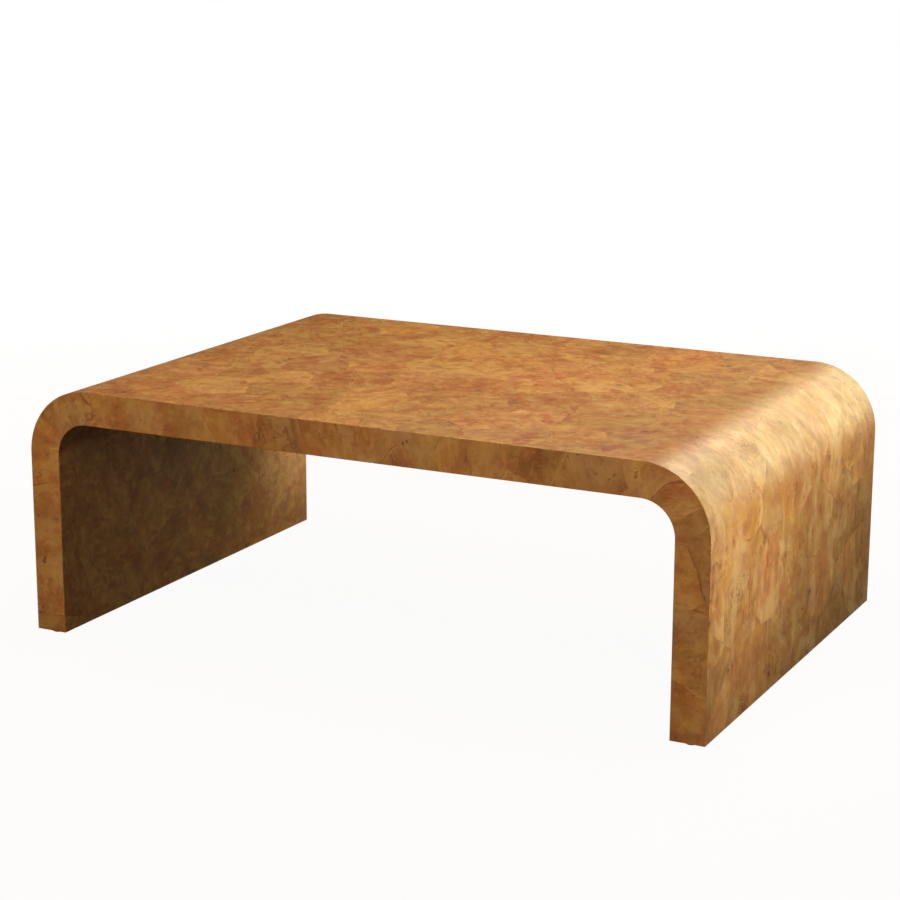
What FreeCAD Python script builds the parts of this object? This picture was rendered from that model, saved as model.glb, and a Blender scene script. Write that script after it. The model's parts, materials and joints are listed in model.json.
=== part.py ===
import FreeCAD, Part
import math
import os
import random

# Waterfall coffee table: one thick slab that turns down at both ends into two full-depth legs.
# It is a torsion box: a ladder frame between plywood skins, covered with leaves of veneer that are
# laid edge to edge like crazy paving, and it stands on four levelling glides.
# Millimetres. Origin on the floor under the middle of the table, X along it, Y to the back, Z up.

# Overall form
LENGTH = 1219.0  # over the outer faces of the legs
DEPTH = 813.0  # front to back
HEIGHT = 432.0  # floor to top
SLAB = 57.0  # thickness of the top and of the legs
BEND_RADIUS = 114.0  # outer bend, the inner one shares its centre
LEG_CLEARANCE = 6.0  # bottom of the legs above the floor

# Veneer
VENEER = 0.9  # thickness of a leaf under its lacquer
LEAF_SIZE = 150.0  # mean width of a leaf on the outer faces
INNER_LEAF_SIZE = 205.0  # and on the inner faces, which show less
LEAF_JOINT = 0.2  # open joint between two leaves
LEAF_TIP = 0.6  # a tip that crosses a bend line by less than this is trimmed off
EDGE_LEAF = 118.0  # mean length of a leaf on the edge bands
STEP_SHARE = 0.22  # how far each column of leaves is stepped, of a leaf
JITTER_SHARE = 0.5  # how far a leaf strays from its even place, of a leaf
EDGE_JITTER_SHARE = 0.45  # how much the leaves of an edge band differ in length
EDGE_SLANT_DEG = 32.0  # steepest slant of a joint across an edge band
OUTER_DRAW = 11  # seeds of the three layouts
INNER_DRAW = 23
EDGE_DRAW = 37

# Skins and ladder frame
SKIN = 6.0  # plywood, flat or bent
RIB = 18.0  # width of a stringer or a corner rib
RIB_LINES = 4  # ribs from front to back
RAIL = 24.0  # width of a cross rail
FOOT_RAIL = 56.0  # height of a foot rail
TENON_WIDTH = 24.0  # loose tenon, across the slab
TENON_THICKNESS = 6.0
TENON_DEPTH = 20.0  # how far it goes into each rib
GLUE_GAP = 0.1  # glue line round a tenon

# Levelling glides
GLIDE_SETBACK = 20.0  # centre of a glide behind the front or back face
GLIDE_PLAY = 0.3  # clearance over, under and past a glide's collar and ends
THREAD_RADIUS = 3.0  # M6, smooth stand-in for the thread
THREAD_PLAY = 0.05  # running clearance in the insert
STUD_LENGTH = 26.0  # threaded length above the collar
COLLAR_FLATS = 10.0  # across the flats of the hexagon collar, turned with a thin spanner
COLLAR_HEIGHT = 2.0
SPIGOT_RADIUS = 2.5  # end of the stud that turns in the pad
SPIGOT_PLAY = 0.05  # running clearance of the spigot
INSERT_RADIUS = 5.0
INSERT_LENGTH = 15.0
PAD_RADIUS = 12.0
PAD_FLAT_RADIUS = 8.5  # flat that rests on the floor
PAD_BEVEL_SHARE = 0.6  # height of the sloping side, of the pad
PAD_FLOOR = 1.2  # plastic under the spigot of the stud
PAD_SIDES = 20  # grip flats round the pad

OVERRUN = 1.0  # how far a cut runs past the piece

# Worked out from the sizes above
bend_x = LENGTH / 2 - BEND_RADIUS  # centre of a bend
bend_z = HEIGHT - BEND_RADIUS
half_depth = DEPTH / 2
board_y = half_depth - VENEER  # face of the skins and frame, under the edge bands
core_top = VENEER + SKIN  # depths from the outer face
core_bottom = SLAB - core_top
core_mid = SLAB / 2
tail = RAIL / 2  # straight tail of a bent skin, which ends on the middle of a rail
foot_top = LEG_CLEARANCE + FOOT_RAIL
leg_run = bend_z - LEG_CLEARANCE
rib_y = [
    (2 * line / (RIB_LINES - 1) - 1) * (board_y - RIB / 2) for line in range(RIB_LINES)
]
SIDES = {"left": -1, "right": 1}
ENDS = {"front": -1, "back": 1}
ARC_SHARES = (0, 0.5, 1)  # points that fix the arc of a bend, as shares of its quarter turn


def export(name, solids):
    """Write one node: a single solid, or a group of like solids."""
    shape = solids[0] if len(solids) == 1 else Part.makeCompound(solids)
    shape.exportStep("parts/" + name + ".step")


def box(x0, x1, y0, y1, z0, z1):
    low = FreeCAD.Vector(min(x0, x1), min(y0, y1), min(z0, z1))
    return Part.makeBox(abs(x1 - x0), abs(y1 - y0), abs(z1 - z0), low)


def cylinder(radius, x, y, z0, z1):
    return Part.makeCylinder(radius, z1 - z0, FreeCAD.Vector(x, y, z0))


def leg_x(side, depth):
    """X of a plane in a leg, at a depth under its outer face."""
    return side * (LENGTH / 2 - depth)


def bend_point(side, depth, angle):
    """A point of a bend. Angle 0 is level with the outer leg face, a quarter turn is at the top."""
    radius = BEND_RADIUS - depth
    return FreeCAD.Vector(
        side * (bend_x + radius * math.cos(angle)), 0, bend_z + radius * math.sin(angle)
    )


def bend_arc(side, depth):
    points = [bend_point(side, depth, share * math.pi / 2) for share in ARC_SHARES]
    return Part.Arc(*points).toShape()


def bent_piece(side, shallow, deep, tail_length, y0, y1):
    """A board bent through a quarter turn between two depths, with a straight tail at each end."""
    ends = []
    for depth in (shallow, deep):
        leg_end = FreeCAD.Vector(leg_x(side, depth), 0, bend_z - tail_length)
        top_end = FreeCAD.Vector(side * (bend_x - tail_length), 0, HEIGHT - depth)
        ends.append((leg_end, top_end))
    edges = [bend_arc(side, shallow), bend_arc(side, deep)]
    if tail_length > 0:
        for depth, (leg_end, top_end) in zip((shallow, deep), ends):
            edges.append(Part.makeLine(leg_end, bend_point(side, depth, 0)))
            edges.append(Part.makeLine(top_end, bend_point(side, depth, math.pi / 2)))
    edges.append(Part.makeLine(ends[0][0], ends[1][0]))
    edges.append(Part.makeLine(ends[0][1], ends[1][1]))
    wire = Part.Wire(Part.sortEdges(edges)[0])
    wire.translate(FreeCAD.Vector(0, y0, 0))
    return Part.Face(wire).extrude(FreeCAD.Vector(0, y1 - y0, 0))


# Loose tenons and their mortises


def top_tenon(side, y, gap=0):
    """Lies through the rail at the end of the top, into the stringer and the corner rib."""
    reach = RAIL / 2 + TENON_DEPTH + gap
    half = TENON_THICKNESS / 2 + gap
    high = TENON_WIDTH / 2 + gap
    x = side * (bend_x - RAIL / 2)
    z = HEIGHT - core_mid
    return box(x - reach, x + reach, y - half, y + half, z - high, z + high)


def leg_tenon(side, y, gap=0):
    """Stands through the rail at the top of a leg, into the corner rib and the leg stringer."""
    reach = RAIL / 2 + TENON_DEPTH + gap
    half = TENON_THICKNESS / 2 + gap
    wide = TENON_WIDTH / 2 + gap
    x = leg_x(side, core_mid)
    z = bend_z - RAIL / 2
    return box(x - wide, x + wide, y - half, y + half, z - reach, z + reach)


def foot_tenon(side, y, gap=0):
    """Stands half in the leg stringer and half in the foot rail."""
    reach = TENON_DEPTH + gap
    half = TENON_THICKNESS / 2 + gap
    wide = TENON_WIDTH / 2 + gap
    x = leg_x(side, core_mid)
    return box(x - wide, x + wide, y - half, y + half, foot_top - reach, foot_top + reach)


def mortises(makers, side, places):
    """Every mortise that these tenons need at these places, as one cutter."""
    return Part.makeCompound([make(side, y, GLUE_GAP) for make in makers for y in places])


# Ladder frame


def top_stringer(y):
    end = bend_x - RAIL
    body = box(-end, end, y - RIB / 2, y + RIB / 2, HEIGHT - core_bottom, HEIGHT - core_top)
    for side in SIDES.values():
        body = body.cut(mortises([top_tenon], side, [y]))
    return body


def corner_rib(side, y):
    body = bent_piece(side, core_top, core_bottom, 0, y - RIB / 2, y + RIB / 2)
    return body.cut(mortises([top_tenon, leg_tenon], side, [y]))


def leg_stringer(side, y):
    body = box(
        leg_x(side, core_top),
        leg_x(side, core_bottom),
        y - RIB / 2,
        y + RIB / 2,
        foot_top,
        bend_z - RAIL,
    )
    return body.cut(mortises([leg_tenon, foot_tenon], side, [y]))


def top_rail(side):
    body = box(
        side * (bend_x - RAIL),
        side * bend_x,
        -board_y,
        board_y,
        HEIGHT - core_bottom,
        HEIGHT - core_top,
    )
    return body.cut(mortises([top_tenon], side, rib_y))


def leg_rail(side):
    body = box(
        leg_x(side, core_top),
        leg_x(side, core_bottom),
        -board_y,
        board_y,
        bend_z - RAIL,
        bend_z,
    )
    return body.cut(mortises([leg_tenon], side, rib_y))


def foot_rail(side):
    body = box(
        leg_x(side, core_top),
        leg_x(side, core_bottom),
        -board_y,
        board_y,
        LEG_CLEARANCE,
        foot_top,
    )
    body = body.cut(mortises([foot_tenon], side, rib_y))
    for end in ENDS.values():
        body = body.cut(glide_socket(side, end))
    return body


# Plywood skins


def top_skin(shallow, deep):
    end = bend_x - tail
    return box(-end, end, -board_y, board_y, HEIGHT - deep, HEIGHT - shallow)


def leg_skin(side, shallow, deep):
    return box(
        leg_x(side, shallow), leg_x(side, deep), -board_y, board_y, LEG_CLEARANCE, bend_z - tail
    )


def bend_skin(side, shallow, deep):
    return bent_piece(side, shallow, deep, tail, -board_y, board_y)


# Veneer leaves. A sheet is laid out flat: s runs along it, from the foot of the left leg over the
# top to the foot of the right leg, and y runs from front to back. Each leaf takes the ground that
# lies nearest to its own centre, and is then wrapped on to the flats and bends that it crosses.


def leaf_centres(run, size, seed):
    """Columns of centres, stepped and strayed as a hand would lay them."""
    draw = random.Random(seed)
    columns = max(1, round(run / size))
    rows = max(1, round(DEPTH / size))
    centres = []
    for column in range(columns):
        step = STEP_SHARE if column % 2 else -STEP_SHARE
        for row in range(rows):
            along = column + 0.5 + JITTER_SHARE * (draw.random() - 0.5)
            across = row + 0.5 + step + JITTER_SHARE * (draw.random() - 0.5)
            centres.append((along * run / columns, across * DEPTH / rows - half_depth))
    return centres


def clip(outline, at, normal):
    """The part of a convex outline that lies behind a line through at, square to normal."""
    kept = []
    for index, here in enumerate(outline):
        there = outline[(index + 1) % len(outline)]
        near = (here[0] - at[0]) * normal[0] + (here[1] - at[1]) * normal[1]
        far = (there[0] - at[0]) * normal[0] + (there[1] - at[1]) * normal[1]
        if near <= 0:
            kept.append(here)
        if near * far < 0:
            share = near / (near - far)
            kept.append(
                (here[0] + share * (there[0] - here[0]), here[1] + share * (there[1] - here[1]))
            )
    return kept


def leaf_outline(centre, centres, run, size):
    """The sheet, cut back halfway to each neighbour, less half of the open joint."""
    outline = [(0, -half_depth), (run, -half_depth), (run, half_depth), (0, half_depth)]
    for other in centres:
        away = (other[0] - centre[0], other[1] - centre[1])
        distance = math.hypot(away[0], away[1])
        if distance == 0 or distance > 3 * size:
            continue
        normal = (away[0] / distance, away[1] / distance)
        reach = (distance - LEAF_JOINT) / 2
        outline = clip(
            outline, (centre[0] + reach * normal[0], centre[1] + reach * normal[1]), normal
        )
    return [
        point
        for index, point in enumerate(outline)
        if math.dist(point, outline[index - 1]) > LEAF_TIP
    ]


def flat(origin, along):
    """How leaves are laid on a flat of the table that runs from origin in one direction."""
    normal = FreeCAD.Vector(-along.z, 0, along.x)

    def lay(points, glued, out):
        corners = [
            origin + along * s + FreeCAD.Vector(0, y, 0) - normal * glued for s, y in points
        ]
        wire = Part.makePolygon(corners + corners[:1])
        return Part.Face(wire).extrude(normal * (out * VENEER))

    return lay


def bend(side):
    """How leaves are wrapped on to a bend of the table. Their slanted joints become helices."""
    first = math.pi if side < 0 else 1.5 * math.pi

    def lay(points, glued, out):
        ground = Part.Cylinder()
        ground.Radius = BEND_RADIUS - glued
        ground.Center = FreeCAD.Vector(side * bend_x, 0, bend_z)
        ground.Axis = FreeCAD.Vector(0, 1, 0)
        show_radius = ground.Radius + out * VENEER
        corners = [FreeCAD.Base.Vector2d(first + s / show_radius, y) for s, y in points]
        edges = []
        for index, corner in enumerate(corners):
            line = Part.Geom2d.Line2dSegment(corner, corners[(index + 1) % len(corners)])
            edges.append(line.toShape(ground))
        face = Part.Face(ground, Part.Wire(edges))
        return face.makeOffsetShape(out * VENEER, VENEER / 1000, fill=True)

    return lay


def sheet(glued, out, size, seed):
    """All the leaves of one sheet, from the depth at which they are glued. out is 1 on the outer
    face of the table and -1 on the inner."""
    bend_run = (BEND_RADIUS - glued + out * VENEER) * math.pi / 2
    up = FreeCAD.Vector(0, 0, 1)
    right = FreeCAD.Vector(1, 0, 0)
    stretches = [
        (leg_run, flat(FreeCAD.Vector(-LENGTH / 2, 0, LEG_CLEARANCE), up)),
        (bend_run, bend(-1)),
        (2 * bend_x, flat(FreeCAD.Vector(-bend_x, 0, HEIGHT), right)),
        (bend_run, bend(1)),
        (leg_run, flat(FreeCAD.Vector(LENGTH / 2, 0, bend_z), -up)),
    ]
    run = sum(length for length, lay in stretches)
    centres = leaf_centres(run, size, seed)
    leaves = []
    for centre in centres:
        outline = leaf_outline(centre, centres, run, size)
        pieces = []
        start = 0
        for length, lay in stretches:
            part = clip(clip(outline, (start, 0), (-1, 0)), (start + length, 0), (1, 0))
            points = [(s - start, y) for s, y in part]
            reach = [s for s, y in points]
            if points and max(reach) - min(reach) > LEAF_TIP:
                pieces.append(lay(points, glued, out))
            start += length
        leaf = pieces[0]
        for piece in pieces[1:]:
            leaf = leaf.fuse(piece)
        leaves.extend(leaf.Solids)
    return leaves


# Edge bands


def edge_place(along, radius):
    """Where a point of the band's middle line lies, and which way the line runs there."""
    bend_run = radius * math.pi / 2
    if along < leg_run:
        return FreeCAD.Vector(leg_x(-1, core_mid), 0, LEG_CLEARANCE + along), math.pi / 2
    along -= leg_run
    if along < bend_run:
        turn = along / radius
        return bend_point(-1, core_mid, turn), math.pi / 2 - turn
    along -= bend_run
    if along < 2 * bend_x:
        return FreeCAD.Vector(along - bend_x, 0, HEIGHT - core_mid), 0
    along -= 2 * bend_x
    if along < bend_run:
        turn = along / radius
        return bend_point(1, core_mid, math.pi / 2 - turn), -turn
    along -= bend_run
    return FreeCAD.Vector(leg_x(1, core_mid), 0, bend_z - along), -math.pi / 2


def edge_band(end):
    """The band on the front or back edge, one leaf wide, cut by slanted joints."""
    y0, y1 = (board_y, half_depth) if end > 0 else (-half_depth, -board_y)
    shallow = VENEER
    deep = SLAB - VENEER
    band = box(-bend_x, bend_x, y0, y1, HEIGHT - deep, HEIGHT - shallow)
    for side in SIDES.values():
        band = band.fuse(bent_piece(side, shallow, deep, 0, y0, y1))
        band = band.fuse(
            box(leg_x(side, shallow), leg_x(side, deep), y0, y1, LEG_CLEARANCE, bend_z)
        )
    band = band.removeSplitter()

    draw = random.Random(EDGE_DRAW + end)
    radius = BEND_RADIUS - core_mid
    run = 2 * leg_run + 2 * bend_x + math.pi * radius
    count = max(2, round(run / EDGE_LEAF))
    joints = []
    for index in range(1, count):
        along = (index + EDGE_JITTER_SHARE * (draw.random() - 0.5)) * run / count
        place, heading = edge_place(along, radius)
        slant = math.radians(EDGE_SLANT_DEG) * (2 * draw.random() - 1)
        joint = box(
            -LEAF_JOINT / 2, LEAF_JOINT / 2, y0 - OVERRUN, y1 + OVERRUN, -SLAB, SLAB
        )
        joint.rotate(
            FreeCAD.Vector(0, 0, 0), FreeCAD.Vector(0, 1, 0), -math.degrees(heading + slant)
        )
        joint.translate(place)
        joints.append(joint)
    return band.cut(Part.makeCompound(joints)).Solids


# Levelling glides


def glide_place(side, end):
    return leg_x(side, core_mid), end * (half_depth - GLIDE_SETBACK)


collar_top = LEG_CLEARANCE - GLIDE_PLAY
collar_bottom = collar_top - COLLAR_HEIGHT
pad_top = collar_bottom - GLIDE_PLAY
insert_top = LEG_CLEARANCE + INSERT_LENGTH
stud_top = collar_top + STUD_LENGTH


def glide_socket(side, end):
    """What is bored in a foot rail for the insert and the end of the stud."""
    x, y = glide_place(side, end)
    return cylinder(INSERT_RADIUS, x, y, LEG_CLEARANCE - OVERRUN, stud_top + GLIDE_PLAY)


def insert(side, end):
    """Sleeve let into the foot rail, whose bore stands in for the thread."""
    x, y = glide_place(side, end)
    body = cylinder(INSERT_RADIUS, x, y, LEG_CLEARANCE, insert_top)
    bore_radius = THREAD_RADIUS + THREAD_PLAY
    return body.cut(cylinder(bore_radius, x, y, LEG_CLEARANCE - OVERRUN, insert_top + OVERRUN))


def ring(count, radius, z):
    """Evenly spaced points on a level circle, with the first one again at the end."""
    turns = [2 * math.pi * (corner % count) / count for corner in range(count + 1)]
    return [FreeCAD.Vector(radius * math.cos(turn), radius * math.sin(turn), z) for turn in turns]


def stud(side, end):
    """Threaded stud with a hexagon collar, and a spigot below it that turns in the pad."""
    spigot = cylinder(SPIGOT_RADIUS, 0, 0, PAD_FLOOR + GLIDE_PLAY, collar_bottom)
    shank = cylinder(THREAD_RADIUS, 0, 0, collar_top, stud_top)
    collar_radius = COLLAR_FLATS / 2 / math.cos(math.pi / 6)
    collar = Part.Face(Part.makePolygon(ring(6, collar_radius, collar_bottom)))
    body = collar.extrude(FreeCAD.Vector(0, 0, COLLAR_HEIGHT)).fuse([spigot, shank])
    x, y = glide_place(side, end)
    body.translate(FreeCAD.Vector(x, y, 0))
    return body


def pad(side, end):
    """Pad with a sloping side below grip flats, and a socket for the spigot of its stud."""
    rings = [
        ring(PAD_SIDES, PAD_FLAT_RADIUS, 0),
        ring(PAD_SIDES, PAD_RADIUS, pad_top * PAD_BEVEL_SHARE),
        ring(PAD_SIDES, PAD_RADIUS, pad_top),
    ]
    faces = [Part.Face(Part.makePolygon(rings[0])), Part.Face(Part.makePolygon(rings[2]))]
    for low, high in zip(rings, rings[1:]):
        for side_face in range(PAD_SIDES):
            corners = low[side_face : side_face + 2] + high[side_face : side_face + 2][::-1]
            faces.append(Part.Face(Part.makePolygon(corners + corners[:1])))
    body = Part.Solid(Part.Shell(faces))
    hole_radius = SPIGOT_RADIUS + SPIGOT_PLAY
    body = body.cut(cylinder(hole_radius, 0, 0, PAD_FLOOR, pad_top + OVERRUN))
    x, y = glide_place(side, end)
    body.translate(FreeCAD.Vector(x, y, 0))
    return body


# The table

os.makedirs("parts", exist_ok=True)

for line, y in enumerate(rib_y, start=1):
    export(f"top_stringer_{line}", [top_stringer(y)])
    for name, side in SIDES.items():
        export(f"{name}_corner_rib_{line}", [corner_rib(side, y)])
        export(f"{name}_leg_stringer_{line}", [leg_stringer(side, y)])

for name, side in SIDES.items():
    export(f"{name}_top_rail", [top_rail(side)])
    export(f"{name}_leg_rail", [leg_rail(side)])
    export(f"{name}_foot_rail", [foot_rail(side)])
    export(f"{name}_leg_outer_skin", [leg_skin(side, VENEER, core_top)])
    export(f"{name}_leg_inner_skin", [leg_skin(side, core_bottom, SLAB - VENEER)])
    export(f"{name}_bend_outer_skin", [bend_skin(side, VENEER, core_top)])
    export(f"{name}_bend_inner_skin", [bend_skin(side, core_bottom, SLAB - VENEER)])

export("top_skin", [top_skin(VENEER, core_top)])
export("underside_skin", [top_skin(core_bottom, SLAB - VENEER)])

through_tenons = [
    make(side, y) for make in (top_tenon, leg_tenon) for side in SIDES.values() for y in rib_y
]
export("through_tenons", through_tenons)
export("foot_tenons", [foot_tenon(side, y) for side in SIDES.values() for y in rib_y])

export("outer_veneer_leaves", sheet(VENEER, 1, LEAF_SIZE, OUTER_DRAW))
export("inner_veneer_leaves", sheet(SLAB - VENEER, -1, INNER_LEAF_SIZE, INNER_DRAW))
for name, end in ENDS.items():
    export(f"{name}_edge_veneer_leaves", edge_band(end))

export("glide_inserts", [insert(side, end) for end in ENDS.values() for side in SIDES.values()])
for end_name, end in ENDS.items():
    for side_name, side in SIDES.items():
        export(f"{end_name}_{side_name}_glide_stud", [stud(side, end)])
        export(f"{end_name}_{side_name}_glide_pad", [pad(side, end)])
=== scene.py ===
import json
import math

import bpy
from mathutils import Matrix, Vector

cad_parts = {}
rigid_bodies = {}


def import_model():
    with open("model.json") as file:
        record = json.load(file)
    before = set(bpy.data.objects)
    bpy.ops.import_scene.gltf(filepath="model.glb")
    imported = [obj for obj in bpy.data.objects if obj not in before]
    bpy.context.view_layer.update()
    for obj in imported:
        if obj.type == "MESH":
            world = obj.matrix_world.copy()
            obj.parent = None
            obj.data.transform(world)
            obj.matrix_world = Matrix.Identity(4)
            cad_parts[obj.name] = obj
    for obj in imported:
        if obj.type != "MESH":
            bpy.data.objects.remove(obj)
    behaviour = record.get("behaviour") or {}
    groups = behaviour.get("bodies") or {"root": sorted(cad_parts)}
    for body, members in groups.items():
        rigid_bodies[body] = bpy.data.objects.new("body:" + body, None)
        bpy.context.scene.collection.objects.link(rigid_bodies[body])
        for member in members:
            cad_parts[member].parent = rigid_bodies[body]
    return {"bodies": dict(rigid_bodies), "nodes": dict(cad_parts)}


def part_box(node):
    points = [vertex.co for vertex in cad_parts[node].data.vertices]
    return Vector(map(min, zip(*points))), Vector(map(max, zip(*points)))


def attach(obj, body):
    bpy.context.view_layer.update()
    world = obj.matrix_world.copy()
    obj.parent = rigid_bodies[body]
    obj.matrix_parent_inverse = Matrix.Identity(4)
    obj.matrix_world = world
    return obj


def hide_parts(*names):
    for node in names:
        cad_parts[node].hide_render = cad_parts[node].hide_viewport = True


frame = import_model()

# Waterfall coffee table in patchwork burl veneer. Metres, floor at z 0, X along the table,
# Y from the front to the back. Depths are measured from the outer face of the slab inwards.

bl_info = {
    "name": "Waterfall coffee table",
    "version": (1, 0, 0),
    "blender": (4, 5, 0),
    "location": "3D View > Sidebar > Table",
    "description": "Veneers, glides, finishes and studio of a waterfall coffee table",
    "category": "Object",
}

MM = 0.001
WELD = 0.01 * MM  # points closer than this are merged
NEAR = 0.1 * MM  # how far off a place a point may lie and still pass for being there

LEAVES_LOW, LEAVES_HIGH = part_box("outer_veneer_leaves")
SKIN_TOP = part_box("top_skin")[1].z
INNER_LEAVES_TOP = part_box("inner_veneer_leaves")[1].z
BEND_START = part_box("right_corner_rib_1")[0].x
VENEER = LEAVES_HIGH.z - SKIN_TOP
GLIDES = [name for name in frame["bodies"] if name.endswith("_glide_pad")]

# Woods: name, pale and dark wood, pores, and how far apart rings and pores lie
BIRCH = ("birch plywood, sanded", "#DDBF92", "#C9A172", "#B08456", 7 * MM, 0.7 * MM)
PINE = ("pine, planed", "#E2C08A", "#C08A4E", "#A87442", 5 * MM, 1.0 * MM)
BEECH = ("beech, pressed", "#CF9F6B", "#B98353", "#8F5C37", 4 * MM, 0.6 * MM)

# Camera, solved from the outline of the table in the photo: place, and turn in radians
EYE = Vector((1.7239, -3.4414, 1.25))
YAW, PITCH, ROLL = 0.46985, 0.24146, 0.00339
SENSOR_WIDTH = 36

# Name, place, aim, size, watts and the colour's name in the studio's look
AREA_LAMPS = (
    ("key lamp", (0.7, 1.5, 1.8), (0.4, 0, 0.4), 0.5, 16.0, "lamps"),
    ("bend lamp", (0.98, 1.5, 0.91), (0.55, 0, 0.38), 1.1, 9.1, "bend_lamps"),
    ("low bend lamp", (1.7, 2.7, 0.75), (0.6, 0, 0.35), 1.2, 6.0, "bend_lamps"),
    ("top lamp", (0.15, 0, 1.7), (0.15, 0, 0.43), 0.8, 12.4, "top_lamp"),
    ("side lamp", (0.98, 0.24, 0.37), (0.61, 0.17, 0.6), 0.1, 1.35, "lamps"),
    ("near side lamp", (0.94, -0.26, 0.28), (0.61, -0.25, 0.28), 0.1, 0.95, "lamps"),
    ("low side lamp", (0.95, -0.85, 0.35), (0.6, -0.35, 0.2), 0.3, 0.58, "front_lamps"),
    ("fill lamp", (-0.5, -2.3, 1.8), (0, -0.4, 0.3), 1.5, 34.5, "front_lamps"),
    ("left lamp", (-2.2, 0.2, 0.9), (-0.6, 0, 0.3), 0.8, 12.0, "lamps"),
    ("back lamp", (-0.9, 2.4, 0.22), (0, 0.4, 0.22), 0.4, 6.0, "lamps"),
)
# The beam that crosses under the top to the inner face of the left leg
BEAM_PLACE, BEAM_AIM = (0.45, 1.15, 0.24), (-0.55, 0.5, 0.2)
BEAM_WATTS, BEAM_SPREAD, BEAM_RADIUS = 49, math.radians(19), 0.1
# A small lamp near the leg would draw a streak on the lacquer, so this one isn't mirrored
NOT_MIRRORED = "side lamp"
# How white the camera sees the floor near the table and far from it, and where those begin
WHITE_NEAR, WHITE_FAR = 0.955, 1.0
PAPER_NEAR, PAPER_FAR = 1.2, 3.0
FLOOR_SIZE = 30
# How bright the surroundings are for rays that are neither seen nor mirrored
ROOM_LIGHT = 0.01


def linear(hex_code):
    """An sRGB hex colour as the linear colour that Blender's shaders take."""
    parts = [int(hex_code[i : i + 2], 16) / 255 for i in (1, 3, 5)]
    return [c / 12.92 if c <= 0.04045 else ((c + 0.055) / 1.055) ** 2.4 for c in parts]


def paint(name, description, hex_code):
    """A colour that the user can change."""
    return bpy.props.FloatVectorProperty(
        name=name, description=description, subtype="COLOR", size=3, min=0, max=1,
        default=linear(hex_code),
    )


def length(name, description, metres):
    """A length that the user can change."""
    return bpy.props.FloatProperty(
        name=name, description=description, subtype="DISTANCE", unit="LENGTH", min=0,
        default=metres, precision=4,
    )


class TableSizes(bpy.types.PropertyGroup):
    """Sizes that the veneer sheets are swept from, most of them read off the solids"""

    long: length("Length", "Over the outer faces of the legs", LEAVES_HIGH.x - LEAVES_LOW.x)
    deep: length("Depth", "Front to back", LEAVES_HIGH.y - LEAVES_LOW.y)
    high: length("Height", "Floor to top", LEAVES_HIGH.z)
    clearance: length("Leg clearance", "Bottom of the legs above the floor", LEAVES_LOW.z)
    veneer: length("Veneer", "Thickness of the leaves", VENEER)
    slab: length(
        "Slab", "Thickness of the top and of the legs", LEAVES_HIGH.z - INNER_LEAVES_TOP + VENEER
    )
    bend: length("Bend", "Outer radius of the bends", LEAVES_HIGH.x - BEND_START)
    bend_steps: bpy.props.IntProperty(
        name="Bend steps", description="Facets in a quarter turn", default=30, min=4
    )
    arris: length("Arris", "How far the long edges are eased", 0.75 * MM)
    strip: length("Strip", "Narrow facet that keeps a flat face flat beside a bend", 4 * MM)


class GlideSizes(bpy.types.PropertyGroup):
    """Shape of a glide's pad"""

    flat_share: bpy.props.FloatProperty(
        name="Flat", description="Radius on the floor, of the full radius", default=0.72,
        min=0.1, max=1, subtype="FACTOR",
    )
    slope_share: bpy.props.FloatProperty(
        name="Slope", description="Height of the sloping side, of the pad", default=0.6,
        min=0.1, max=0.9, subtype="FACTOR",
    )
    socket: length("Socket", "Radius of the socket for the stud", 2.55 * MM)
    socket_floor: length("Socket floor", "Nylon under the socket", 1.2 * MM)
    rounding: length("Rounding", "Of the edges on the floor and at the slope", 0.9 * MM)
    rim: length("Rim", "Narrow facet round the top of the pad", 0.5 * MM)
    sides: bpy.props.IntProperty(name="Sides", description="Facets round the pad", default=64)


class VeneerLook(bpy.types.PropertyGroup):
    """Colours and leaf width of the burl"""

    leaf: length("Leaf", "Mean width of a leaf of veneer", 105 * MM)
    tan: paint("Tan", "Commonest leaf", "#CA8448")
    ochre: paint("Ochre", "Yellow leaf", "#CA9247")
    russet: paint("Russet", "Red leaf", "#C46E3B")
    rose: paint("Rose", "Pink leaf", "#CF8A5C")
    olive: paint("Olive", "Grey-green leaf", "#B8884C")
    cream: paint("Cream", "Pale strips and patches on the legs", "#ECC291")
    straw: paint("Straw", "Pale leaf and pale figure", "#E5B069")
    deep: paint("Deep", "Dark figure", "#A15A29")
    vein: paint("Vein", "Red-brown lines", "#8E4A22")
    eye: paint("Eye", "Burl eyes, knots and cracks", "#552C16")
    stain: paint("Stain", "Round the knots", "#8F5636")


class StudioLook(bpy.types.PropertyGroup):
    """Lens, lamps and floor"""

    lens: bpy.props.FloatProperty(
        name="Lens", description="Focal length of the camera", default=91.912, unit="CAMERA"
    )
    floor: paint("Floor", "Bounce of the floor", "#3A2C1E")
    lamps: paint("Lamps", "Warm light of the lamps above and beside the table", "#FFF6D2")
    bend_lamps: paint("Bend lamps", "Yellower light that the right bend mirrors", "#F4FAC8")
    top_lamp: paint("Top lamp", "Whiter light above the top", "#FFFDE9")
    front_lamps: paint("Front lamps", "Warmer light on the front and under the top", "#FFECBC")
    level: bpy.props.FloatProperty(
        name="Level", description="Share of full power", default=1, min=0
    )
    mirrored: bpy.props.FloatProperty(
        name="Mirrored", description="How bright the white surroundings are in gloss",
        default=0.03, min=0, max=1, subtype="FACTOR",
    )


def edit(piece):
    """Go into edit mode on one piece with everything selected."""
    bpy.ops.object.select_all(action="DESELECT")
    piece.select_set(True)
    bpy.context.view_layer.objects.active = piece
    bpy.ops.object.mode_set(mode="EDIT")
    bpy.ops.mesh.select_mode(type="FACE")
    bpy.ops.mesh.select_all(action="SELECT")


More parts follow.
